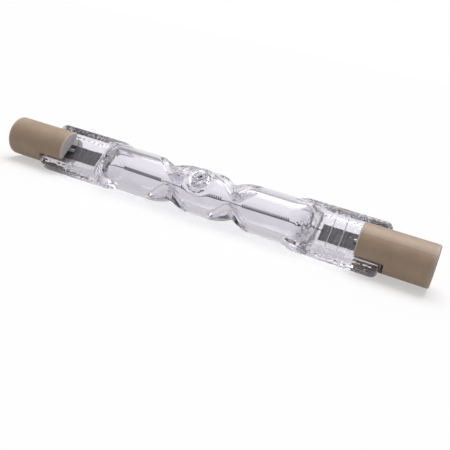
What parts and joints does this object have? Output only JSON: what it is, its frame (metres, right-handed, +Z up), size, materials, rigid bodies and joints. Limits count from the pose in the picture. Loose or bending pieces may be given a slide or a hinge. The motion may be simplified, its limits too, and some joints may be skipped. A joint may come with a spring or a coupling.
{
  "type": "linear halogen bulb",
  "caption": "Double-ended linear halogen bulb: clear quartz tube with pressed waists, exhaust tip, flat pinch seals and slotted ceramic caps with recessed contacts.",
  "frame": {"origin": "on the ground below the middle of the lamp's axis", "axes": "+X along the lamp's axis from the left cap to the right cap, +Z up; the lamp lies on its tube and on the corners of its pinch rails, and its exhaust tip points up and towards -Y"},
  "size_m": [0.0782, 0.0086, 0.0086],
  "materials": {
    "quartz": "clear, fire polished",
    "tungsten": "dark drawn wire",
    "foil": "dull grey foil",
    "lead": "drawn rod",
    "steatite": "matt, unglazed",
    "cement": "matt cement",
    "contact": "nickel plated"
  },
  "bodies": {
    "root": {"quartz_envelope": "quartz", "filament": "tungsten", "foil_left": "foil", "foil_right": "foil", "lead_left": "lead", "lead_right": "lead", "cap_left": "steatite", "cap_right": "steatite", "cement_left": "cement", "cement_right": "cement", "contact_left": "contact", "contact_right": "contact"}
  },
  "joints": []
}
